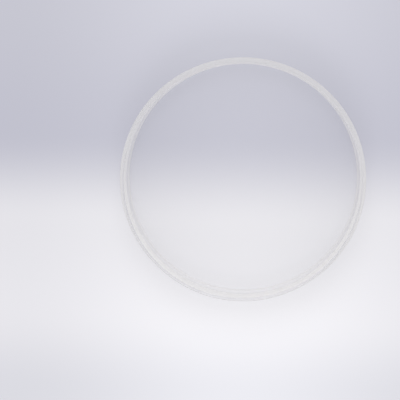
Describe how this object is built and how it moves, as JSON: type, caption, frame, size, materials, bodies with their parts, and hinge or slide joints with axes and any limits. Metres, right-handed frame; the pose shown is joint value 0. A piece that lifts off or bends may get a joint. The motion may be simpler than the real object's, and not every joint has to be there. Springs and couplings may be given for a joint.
{
  "type": "milling disc",
  "caption": "Clear acrylic milling disc with a centred clamping collar, the blank that a dental milling machine cuts restorations and splints from.",
  "frame": {"origin": "centre of the lower flat face, at the disc's base", "axes": "+Z along the disc's axis, from the lower flat face to the upper one; the disc is the same all round"},
  "size_m": [0.098, 0.098, 0.025],
  "materials": {
    "clear_acrylic": "polished clear flat faces, satin turned rim"
  },
  "bodies": {
    "root": {"milling_disc": "clear_acrylic"}
  },
  "joints": []
}
